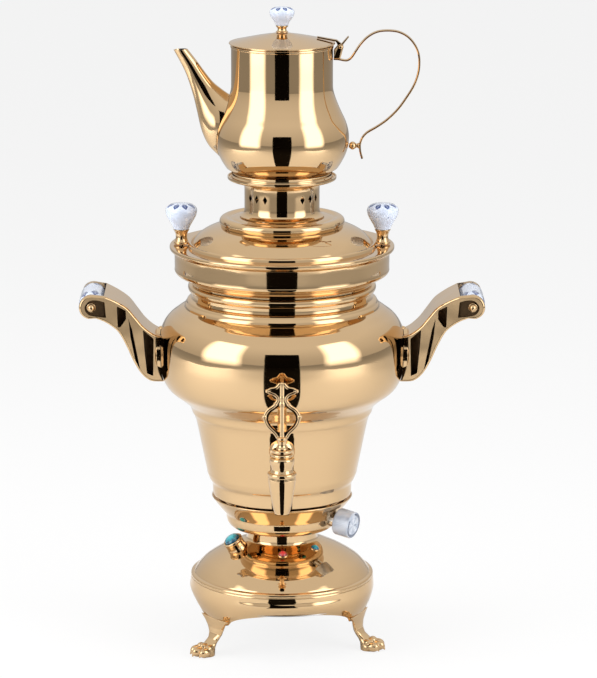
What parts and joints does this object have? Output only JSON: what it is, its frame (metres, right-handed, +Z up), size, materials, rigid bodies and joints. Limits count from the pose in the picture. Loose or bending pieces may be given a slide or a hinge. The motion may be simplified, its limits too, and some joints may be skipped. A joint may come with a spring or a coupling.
{
  "type": "samovar",
  "caption": "Polished electric samovar: bulging tank on a clawed-foot base, front tap with a pierced key, flared side handles, and a hinged-lid teapot seated on a pierced crown.",
  "frame": {"origin": "middle of the flat underside of the bottom cover, 40 mm above the table", "axes": "+Z up; -Y to the front, where the tap is; the teapot's spout points to -X and its handle to +X"},
  "size_m": [0.3322, 0.2312, 0.5324],
  "materials": {
    "base_dome": "polished pale gold",
    "foot_1": "polished pale gold",
    "foot_2": "polished pale gold",
    "foot_3": "polished pale gold",
    "heater_housing": "polished pale gold",
    "tank": "polished pale gold",
    "collar": "polished pale gold",
    "tank_lid": "polished pale gold",
    "lid_knob_left_ferrule": "polished pale gold",
    "lid_knob_right_ferrule": "polished pale gold",
    "crown": "polished pale gold",
    "teapot_body": "polished pale gold",
    "teapot_foot_ring": "polished pale gold",
    "spout": "polished pale gold",
    "teapot_handle": "polished pale gold",
    "teapot_lid": "polished pale gold",
    "hinge_leaf": "polished pale gold",
    "hinge_bracket": "polished pale gold",
    "hinge_pin": "polished pale gold",
    "teapot_knob_ferrule": "polished pale gold",
    "side_arm_left": "polished pale gold",
    "side_arm_right": "polished pale gold",
    "grip_bolt_left": "polished pale gold",
    "grip_bolt_right": "polished pale gold",
    "acorn_nut_left": "polished pale gold",
    "acorn_nut_right": "polished pale gold",
    "tap_body": "polished pale gold",
    "tap_escutcheon": "polished pale gold",
    "tap_gland": "polished pale gold",
    "tap_key": "polished pale gold",
    "button_collar": "polished pale gold",
    "lid_knob_left": "glazed white with blue marks",
    "lid_knob_right": "glazed white with blue marks",
    "teapot_knob": "glazed white with blue marks",
    "grip_left": "glazed white with blue marks",
    "grip_right": "glazed white with blue marks",
    "bottom_cover": "plain",
    "foot_screw_1": "plain",
    "foot_screw_2": "plain",
    "foot_screw_3": "plain",
    "lid_knob_left_screw": "plain",
    "lid_knob_right_screw": "plain",
    "arm_bolt_left": "plain",
    "arm_bolt_right": "plain",
    "tap_nut": "plain",
    "dial_shaft": "plain",
    "thermostat": "plain",
    "heating_element": "plain",
    "element_nut_1": "plain",
    "element_nut_2": "plain",
    "tie_rod": "plain",
    "tie_nut": "plain",
    "tap_seal": "matt black",
    "thermostat_dial": "clear with a pale face",
    "push_switch": "black",
    "push_button": "translucent blue-green",
    "pilot_lamp_red": "translucent red",
    "pilot_lamp_blue": "translucent blue-green",
    "power_inlet": "black",
    "thermal_cutout": "black"
  },
  "bodies": {
    "samovar_body": {"acorn_nut_left": "acorn_nut_left", "acorn_nut_right": "acorn_nut_right", "arm_bolt_left": "arm_bolt_left", "arm_bolt_right": "arm_bolt_right", "base_dome": "base_dome", "bottom_cover": "bottom_cover", "button_collar": "button_collar", "collar": "collar", "element_nut_1": "element_nut_1", "element_nut_2": "element_nut_2", "foot_1": "foot_1", "foot_2": "foot_2", "foot_3": "foot_3", "foot_screw_1": "foot_screw_1", "foot_screw_2": "foot_screw_2", "foot_screw_3": "foot_screw_3", "grip_bolt_left": "grip_bolt_left", "grip_bolt_right": "grip_bolt_right", "grip_left": "grip_left", "grip_right": "grip_right", "heater_housing": "heater_housing", "heating_element": "heating_element", "pilot_lamp_blue": "pilot_lamp_blue", "pilot_lamp_red": "pilot_lamp_red", "power_inlet": "power_inlet", "push_switch": "push_switch", "side_arm_left": "side_arm_left", "side_arm_right": "side_arm_right", "tank": "tank", "tap_body": "tap_body", "tap_escutcheon": "tap_escutcheon", "tap_gland": "tap_gland", "tap_nut": "tap_nut", "tap_seal": "tap_seal", "thermal_cutout": "thermal_cutout", "thermostat": "thermostat", "tie_nut": "tie_nut", "tie_rod": "tie_rod"},
    "tank_lid_group": {"tank_lid": "tank_lid", "lid_knob_left": "lid_knob_left", "lid_knob_left_ferrule": "lid_knob_left_ferrule", "lid_knob_left_screw": "lid_knob_left_screw", "lid_knob_right": "lid_knob_right", "lid_knob_right_ferrule": "lid_knob_right_ferrule", "lid_knob_right_screw": "lid_knob_right_screw", "crown": "crown"},
    "teapot": {"teapot_body": "teapot_body", "teapot_foot_ring": "teapot_foot_ring", "spout": "spout", "teapot_handle": "teapot_handle", "hinge_bracket": "hinge_bracket", "hinge_pin": "hinge_pin"},
    "teapot_lid_group": {"teapot_lid": "teapot_lid", "hinge_leaf": "hinge_leaf", "teapot_knob": "teapot_knob", "teapot_knob_ferrule": "teapot_knob_ferrule"},
    "tap_key": {"tap_key": "tap_key"},
    "dial": {"thermostat_dial": "thermostat_dial", "dial_shaft": "dial_shaft"},
    "button": {"push_button": "push_button"}
  },
  "joints": [
    {"name": "lid_lift", "type": "slide", "parent": "samovar_body", "child": "tank_lid_group", "axis": [0, 0, 1], "range_m": [0, 0.12]},
    {"name": "teapot_lift", "type": "slide", "parent": "tank_lid_group", "child": "teapot", "axis": [0, 0, 1], "range_m": [0, 0.1]},
    {"name": "teapot_lid_hinge", "type": "hinge", "parent": "teapot", "child": "teapot_lid_group", "pos_m": [0.04749, 0, 0.45999], "axis": [0, 1, 0], "range_deg": [0, 90]},
    {"name": "tap_turn", "type": "hinge", "parent": "samovar_body", "child": "tap_key", "pos_m": [0, -0.118, 0.13951], "axis": [0, 0, 1], "range_deg": [0, 90]},
    {"name": "dial_turn", "type": "hinge", "parent": "samovar_body", "child": "dial", "pos_m": [0.04637, -0.02677, 0.0692], "axis": [0.8576, -0.4951, -0.1392], "range_deg": [0, 230]},
    {"name": "button_press", "type": "slide", "parent": "samovar_body", "child": "button", "axis": [0.4803, 0.2239, -0.848], "range_m": [0, 0.0025], "stiffness_N_per_m": 400, "springref_m": -0.001}
  ]
}
